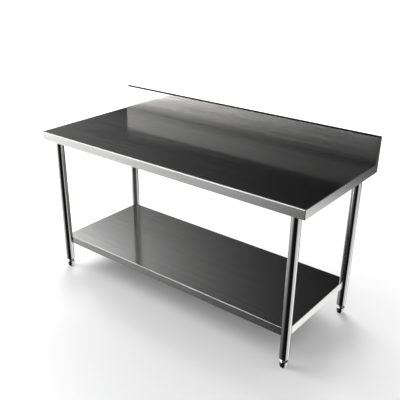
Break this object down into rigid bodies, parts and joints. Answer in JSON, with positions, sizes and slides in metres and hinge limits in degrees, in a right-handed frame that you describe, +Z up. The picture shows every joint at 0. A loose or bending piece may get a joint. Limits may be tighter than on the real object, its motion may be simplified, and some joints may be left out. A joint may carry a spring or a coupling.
{
  "type": "stainless work table",
  "caption": "Free-standing stainless worktop with a rear upstand, on round tube legs with a full sliding undershelf and screw levelling feet.",
  "frame": {"origin": "on the floor, under the middle of the table's outline", "axes": "+X along the length to the right, +Y from the front edge to the upstand, +Z up"},
  "size_m": [1.8, 0.76, 1.076],
  "materials": {
    "worktop_sheet": "fine satin stainless sheet, grain along the length",
    "shelf_sheet": "fine satin stainless sheet, grain along the length",
    "leg_tube": "mirror-polished stainless tube",
    "foot_steel": "turned and polished stainless",
    "channel_steel": "galvanised sheet, dull with a fine spangle",
    "cast_alloy": "die-cast, slightly grainy",
    "fastener_steel": "bright zinc plate",
    "butyl_tape": "dull black damping tape",
    "black_nylon": "black nylon",
    "glide_nylon": "dark grey nylon"
  },
  "bodies": {
    "table_frame": {"cap_nuts": "fastener_steel", "cross_channel_left": "channel_steel", "cross_channel_right": "channel_steel", "damping_tape_front": "butyl_tape", "damping_tape_left": "butyl_tape", "damping_tape_rear": "butyl_tape", "damping_tape_right": "butyl_tape", "foot_insert_front_left": "black_nylon", "foot_insert_front_right": "black_nylon", "foot_insert_rear_left": "black_nylon", "foot_insert_rear_right": "black_nylon", "leg_set_screws": "fastener_steel", "leg_socket_front_left": "cast_alloy", "leg_socket_front_right": "cast_alloy", "leg_socket_rear_left": "cast_alloy", "leg_socket_rear_right": "cast_alloy", "leg_tube_front_left": "leg_tube", "leg_tube_front_right": "leg_tube", "leg_tube_rear_left": "leg_tube", "leg_tube_rear_right": "leg_tube", "long_channel_front": "channel_steel", "long_channel_rear": "channel_steel", "rear_rail": "channel_steel", "weld_studs": "fastener_steel", "worktop": "worktop_sheet"},
    "undershelf": {"shelf_channel_front": "channel_steel", "shelf_channel_rear": "channel_steel", "shelf_saddle_front_left": "cast_alloy", "shelf_saddle_front_right": "cast_alloy", "shelf_saddle_rear_left": "cast_alloy", "shelf_saddle_rear_right": "cast_alloy", "shelf_set_screws": "fastener_steel", "shelf_tape_front": "butyl_tape", "shelf_tape_rear": "butyl_tape", "undershelf": "shelf_sheet"},
    "glide_front_left": {"foot_glide_front_left": "glide_nylon"},
    "foot_front_left": {"foot_bullet_front_left": "foot_steel", "foot_stem_front_left": "fastener_steel"},
    "glide_front_right": {"foot_glide_front_right": "glide_nylon"},
    "foot_front_right": {"foot_bullet_front_right": "foot_steel", "foot_stem_front_right": "fastener_steel"},
    "glide_rear_left": {"foot_glide_rear_left": "glide_nylon"},
    "foot_rear_left": {"foot_bullet_rear_left": "foot_steel", "foot_stem_rear_left": "fastener_steel"},
    "glide_rear_right": {"foot_glide_rear_right": "glide_nylon"},
    "foot_rear_right": {"foot_bullet_rear_right": "foot_steel", "foot_stem_rear_right": "fastener_steel"}
  },
  "joints": [
    {"name": "shelf_height", "type": "slide", "parent": "table_frame", "child": "undershelf", "axis": [0, 0, 1], "range_m": [-0.08, 0.4]},
    {"name": "foot_turn_front_left", "type": "hinge", "parent": "glide_front_left", "child": "foot_front_left", "pos_m": [-0.825, -0.316, 0], "axis": [0, 0, -1], "range_deg": [-2521, 5041]},
    {"name": "foot_lift_front_left", "type": "slide", "parent": "table_frame", "child": "glide_front_left", "axis": [0, 0, -1], "range_m": [-0.01225, 0.0245]},
    {"name": "foot_turn_front_right", "type": "hinge", "parent": "glide_front_right", "child": "foot_front_right", "pos_m": [0.825, -0.316, 0], "axis": [0, 0, -1], "range_deg": [-2521, 5041]},
    {"name": "foot_lift_front_right", "type": "slide", "parent": "table_frame", "child": "glide_front_right", "axis": [0, 0, -1], "range_m": [-0.01225, 0.0245]},
    {"name": "foot_turn_rear_left", "type": "hinge", "parent": "glide_rear_left", "child": "foot_rear_left", "pos_m": [-0.825, 0.322, 0], "axis": [0, 0, -1], "range_deg": [-2521, 5041]},
    {"name": "foot_lift_rear_left", "type": "slide", "parent": "table_frame", "child": "glide_rear_left", "axis": [0, 0, -1], "range_m": [-0.01225, 0.0245]},
    {"name": "foot_turn_rear_right", "type": "hinge", "parent": "glide_rear_right", "child": "foot_rear_right", "pos_m": [0.825, 0.322, 0], "axis": [0, 0, -1], "range_deg": [-2521, 5041]},
    {"name": "foot_lift_rear_right", "type": "slide", "parent": "table_frame", "child": "glide_rear_right", "axis": [0, 0, -1], "range_m": [-0.01225, 0.0245]}
  ],
  "couplings": [
    {"joint": "foot_turn_front_left", "follows": "foot_lift_front_left", "rad_per_m": 3590.4},
    {"joint": "foot_turn_front_right", "follows": "foot_lift_front_right", "rad_per_m": 3590.4},
    {"joint": "foot_turn_rear_left", "follows": "foot_lift_rear_left", "rad_per_m": 3590.4},
    {"joint": "foot_turn_rear_right", "follows": "foot_lift_rear_right", "rad_per_m": 3590.4}
  ]
}
